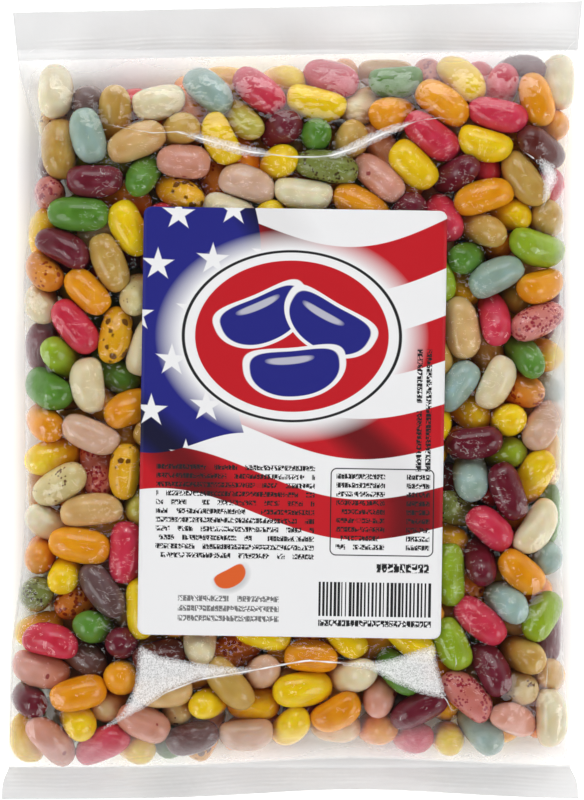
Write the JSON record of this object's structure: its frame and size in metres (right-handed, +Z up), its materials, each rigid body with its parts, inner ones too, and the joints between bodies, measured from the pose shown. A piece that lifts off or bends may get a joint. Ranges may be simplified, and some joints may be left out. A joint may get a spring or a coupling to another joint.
{
  "type": "bag of jelly beans",
  "caption": "Sealed clear film bag of mixed jelly beans with a paper label on its front, lying on its back.",
  "frame": {"origin": "centre of the bag's box at the surface it lies on", "axes": "+Y along the bag from its lower seal to its upper seal, +X across it, +Z up out of its front"},
  "size_m": [0.1633, 0.2244, 0.0256],
  "materials": {
    "bag": "clear glossy film over mixed glossy sugar-shelled beans",
    "label": "satin coated paper, printed"
  },
  "bodies": {
    "root": {"bag": "bag", "label": "label"}
  },
  "joints": []
}
